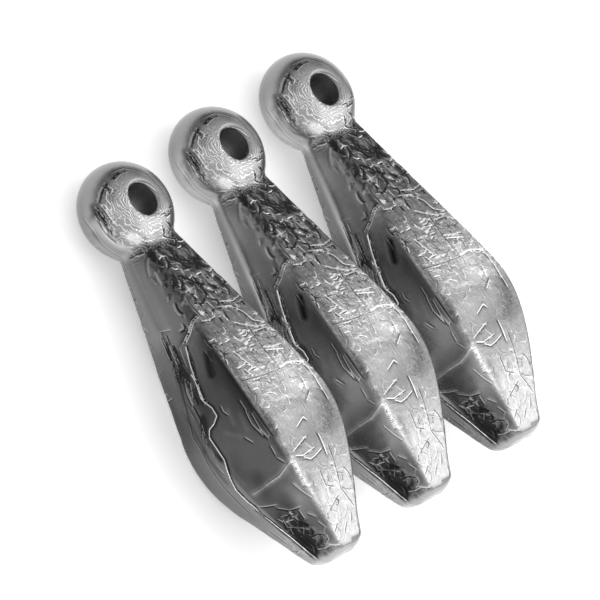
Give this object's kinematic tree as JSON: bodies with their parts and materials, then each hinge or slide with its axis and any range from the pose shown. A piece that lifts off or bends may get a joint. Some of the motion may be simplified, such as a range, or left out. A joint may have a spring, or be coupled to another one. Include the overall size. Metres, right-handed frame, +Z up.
{
  "type": "fishing sinker",
  "caption": "Cast lead bank sinkers lying side by side: slim six-sided weights with a round eye, a narrow neck, a full belly and a small flat base.",
  "frame": {"origin": "on the surface the sinkers lie on, below the middle of the set's box", "axes": "+X from the eyes to the flat bases, +Y across the row from the front sinker to the back one, +Z up"},
  "size_m": [0.0602, 0.0572, 0.0159],
  "materials": {
    "cast_lead": "bare as-cast lead, bright on the worn faces and dull in the hollows"
  },
  "bodies": {
    "middle": {"sinker_middle": "cast_lead"},
    "front": {"sinker_front": "cast_lead"},
    "back": {"sinker_back": "cast_lead"}
  },
  "joints": [
    {"name": "front_lift", "type": "slide", "parent": "middle", "child": "front", "axis": [0, 0, 1], "range_m": [0, 0.06]},
    {"name": "back_lift", "type": "slide", "parent": "middle", "child": "back", "axis": [0, 0, 1], "range_m": [0, 0.06]}
  ]
}
